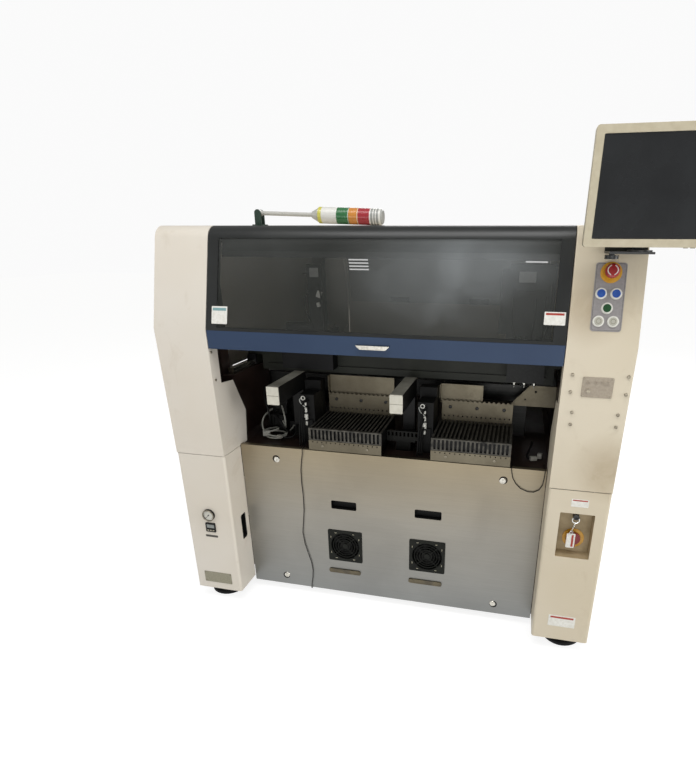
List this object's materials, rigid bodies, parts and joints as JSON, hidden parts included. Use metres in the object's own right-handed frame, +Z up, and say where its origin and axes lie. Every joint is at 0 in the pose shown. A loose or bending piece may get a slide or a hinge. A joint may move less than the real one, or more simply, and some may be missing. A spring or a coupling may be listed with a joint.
{
  "type": "placement machine",
  "caption": "Floor-standing electronics placement machine: steel cabinet with glazed lifting hood, feeder banks, gantry and head, board conveyor, controls, monitor and folding signal tower.",
  "frame": {"origin": "on the floor, under the middle of the machine's overall outline, monitor included", "axes": "+Z up, +X to the right seen from the operator's side, +Y from the operator's side to the back"},
  "size_m": [1.829, 1.727, 1.772],
  "materials": {
    "frame_paint": "satin dark grey paint",
    "bed_paint": "cast, dark painted",
    "foot_rubber": "matt black",
    "cream_paint": "fine textured cream powder coat",
    "blue_paint": "satin blue paint",
    "black_paint": "satin black paint",
    "brushed_steel": "brushed",
    "zinc_steel": "zinc plated sheet",
    "bright_steel": "plated",
    "black_plastic": "moulded",
    "cream_plastic": "moulded",
    "white_plastic": "moulded",
    "smoked_glass": "smoked acrylic",
    "aluminium": "anodised",
    "grey_paint": "grey-green paint",
    "plate_grey": "satin grey foil",
    "yellow_plastic": "moulded",
    "red_plastic": "moulded",
    "blue_plastic": "moulded",
    "green_plastic": "moulded",
    "clear_plastic": "moulded",
    "monitor_plastic": "moulded",
    "screen_glass": "dark glass",
    "lens_plastic": "translucent moulded",
    "cable_rubber": "flexible sheath"
  },
  "bodies": {
    "cabinet": {"base_frame": "frame_paint", "machine_bed": "bed_paint", "levelling_feet": "foot_rubber", "left_lower_cover": "cream_paint", "right_lower_cover": "cream_paint", "left_upper_cover": "cream_paint", "right_upper_cover": "cream_paint", "left_side_cover": "cream_paint", "right_side_cover": "cream_paint", "roof_panel": "cream_paint", "front_panel": "brushed_steel", "panel_locks": "bright_steel", "grip_cups": "black_plastic", "fan_housings": "black_plastic", "rear_panel": "cream_paint", "feeder_bases": "black_paint", "feeder_plates": "zinc_steel", "supply_beams": "brushed_steel", "beam_end_caps": "cream_plastic", "connector_boxes": "black_plastic", "air_hoses": "cable_rubber", "conveyor_fixed_rail": "aluminium", "y_guides": "bright_steel", "operator_plate": "plate_grey", "yellow_collars": "yellow_plastic", "button_bezels": "white_plastic", "service_plate": "plate_grey", "switch_box": "cream_paint", "pressure_unit": "black_plastic", "monitor_bracket": "black_paint", "tower_foot": "black_plastic", "left_lead": "cable_rubber", "right_lead": "cable_rubber"},
    "left_fan": {"fan_rotor_left": "black_plastic"},
    "right_fan": {"fan_rotor_right": "black_plastic"},
    "moving_rail": {"conveyor_moving_rail": "aluminium"},
    "gantry": {"gantry_beam": "grey_paint"},
    "head": {"head_unit": "black_paint"},
    "spindle_a": {"spindle_1": "aluminium"},
    "spindle_b": {"spindle_2": "aluminium"},
    "spindle_c": {"spindle_3": "aluminium"},
    "front_hood": {"hood_frame": "black_paint", "hood_window": "smoked_glass", "hood_band": "blue_paint", "hood_handle": "bright_steel"},
    "back_hood": {"rear_hood": "cream_paint"},
    "emergency_stop": {"stop_button": "red_plastic"},
    "blue_left": {"blue_button_left": "blue_plastic"},
    "blue_right": {"blue_button_right": "blue_plastic"},
    "green": {"green_button": "green_plastic"},
    "clear_left": {"clear_button_left": "clear_plastic"},
    "clear_right": {"clear_button_right": "clear_plastic"},
    "key": {"key_switch": "bright_steel"},
    "main_switch": {"switch_handle": "red_plastic"},
    "needle": {"gauge_needle": "black_plastic"},
    "monitor_swivel": {"monitor_arm": "black_paint"},
    "monitor": {"monitor_housing": "monitor_plastic", "monitor_screen": "screen_glass"},
    "signal_tower": {"tower_tube": "white_plastic", "tower_lenses": "lens_plastic"}
  },
  "joints": [
    {"name": "front_hood_lift", "type": "hinge", "parent": "cabinet", "child": "front_hood", "pos_m": [-0.0895, -0.6935, 1.505], "axis": [-1, 0, 0], "range_deg": [0, 68]},
    {"name": "rear_hood_lift", "type": "hinge", "parent": "cabinet", "child": "back_hood", "pos_m": [-0.0895, 0.7405, 1.505], "axis": [1, 0, 0], "range_deg": [0, 68]},
    {"name": "gantry_travel", "type": "slide", "parent": "cabinet", "child": "gantry", "axis": [0, 1, 0], "range_m": [0, 0.72]},
    {"name": "head_travel", "type": "slide", "parent": "gantry", "child": "head", "axis": [1, 0, 0], "range_m": [-0.69, 0.02]},
    {"name": "spindle_a_stroke", "type": "slide", "parent": "head", "child": "spindle_a", "axis": [0, 0, 1], "range_m": [-0.05, 0], "stiffness_N_per_m": 400, "springref_m": 0.006},
    {"name": "spindle_b_stroke", "type": "slide", "parent": "head", "child": "spindle_b", "axis": [0, 0, 1], "range_m": [-0.05, 0], "stiffness_N_per_m": 400, "springref_m": 0.006},
    {"name": "spindle_c_stroke", "type": "slide", "parent": "head", "child": "spindle_c", "axis": [0, 0, 1], "range_m": [-0.05, 0], "stiffness_N_per_m": 400, "springref_m": 0.006},
    {"name": "conveyor_width", "type": "slide", "parent": "cabinet", "child": "moving_rail", "axis": [0, 1, 0], "range_m": [-0.19, 0.04]},
    {"name": "left_fan_spin", "type": "hinge", "parent": "cabinet", "child": "left_fan", "pos_m": [-0.2665, -0.6535, 0.274], "axis": [0, 1, 0], "continuous": true},
    {"name": "right_fan_spin", "type": "hinge", "parent": "cabinet", "child": "right_fan", "pos_m": [0.0875, -0.6535, 0.274], "axis": [0, 1, 0], "continuous": true},
    {"name": "stop_press", "type": "slide", "parent": "cabinet", "child": "emergency_stop", "axis": [0, 0.9613, -0.2756], "range_m": [0, 0.005], "stiffness_N_per_m": 900, "springref_m": -0.001},
    {"name": "blue_left_press", "type": "slide", "parent": "cabinet", "child": "blue_left", "axis": [0, 0.9613, -0.2756], "range_m": [0, 0.0028], "stiffness_N_per_m": 400, "springref_m": -0.001},
    {"name": "blue_right_press", "type": "slide", "parent": "cabinet", "child": "blue_right", "axis": [0, 0.9613, -0.2756], "range_m": [0, 0.0028], "stiffness_N_per_m": 400, "springref_m": -0.001},
    {"name": "green_press", "type": "slide", "parent": "cabinet", "child": "green", "axis": [0, 0.9613, -0.2756], "range_m": [0, 0.0028], "stiffness_N_per_m": 400, "springref_m": -0.001},
    {"name": "clear_left_press", "type": "slide", "parent": "cabinet", "child": "clear_left", "axis": [0, 0.9613, -0.2756], "range_m": [0, 0.0028], "stiffness_N_per_m": 400, "springref_m": -0.001},
    {"name": "clear_right_press", "type": "slide", "parent": "cabinet", "child": "clear_right", "axis": [0, 0.9613, -0.2756], "range_m": [0, 0.0028], "stiffness_N_per_m": 400, "springref_m": -0.001},
    {"name": "key_turn", "type": "hinge", "parent": "cabinet", "child": "key", "pos_m": [0.6095, -0.81284, 1.053], "axis": [0, 0.9997, 0.0263], "range_deg": [0, 90]},
    {"name": "main_switch_turn", "type": "hinge", "parent": "cabinet", "child": "main_switch", "pos_m": [0.6365, -0.7735, 0.486], "axis": [0, 1, 0], "range_deg": [0, 90]},
    {"name": "needle_turn", "type": "hinge", "parent": "cabinet", "child": "needle", "pos_m": [-0.8105, -0.8115, 0.429], "axis": [0, 1, 0], "range_deg": [0, 270]},
    {"name": "monitor_turn", "type": "hinge", "parent": "cabinet", "child": "monitor_swivel", "pos_m": [0.6955, -0.8085, 1.468], "axis": [0, 0, 1], "range_deg": [-10, 30]},
    {"name": "monitor_tilt", "type": "hinge", "parent": "monitor_swivel", "child": "monitor", "pos_m": [0.7245, -0.7865, 1.624], "axis": [1, 0, 0], "range_deg": [-15, 3]},
    {"name": "tower_fold", "type": "hinge", "parent": "cabinet", "child": "signal_tower", "pos_m": [-0.5675, -0.5985, 1.58], "axis": [0, -1, 0], "range_deg": [0, 91.9]}
  ]
}
